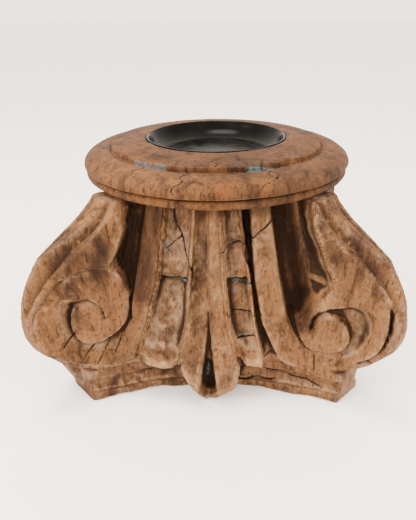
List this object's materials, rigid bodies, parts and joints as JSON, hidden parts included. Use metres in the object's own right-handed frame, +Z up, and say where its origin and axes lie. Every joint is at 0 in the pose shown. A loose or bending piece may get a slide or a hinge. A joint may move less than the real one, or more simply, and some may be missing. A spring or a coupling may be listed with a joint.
{
  "type": "carved column capital used as a base",
  "caption": "Carved wooden column capital turned upside down as a low base, with scroll arms, a fluted bell, a turned ring and a shallow dish in its top.",
  "frame": {"origin": "middle of the underside, on the surface that the base stands on", "axes": "+Z up, X and Y square to the four faces, with the scroll arms on the diagonals; the picture looks along +Y"},
  "size_m": [0.3252, 0.3252, 0.221],
  "materials": {
    "carved_wood": "old bare hardwood, waxed on the high parts and dusty in the hollows",
    "turned_wood": "old turned hardwood, smoother than the carving, with a dull wax sheen",
    "black_glaze": "glossy black"
  },
  "bodies": {
    "root": {"carved_capital": "carved_wood", "turned_ring": "turned_wood", "black_dish": "black_glaze"}
  },
  "joints": []
}
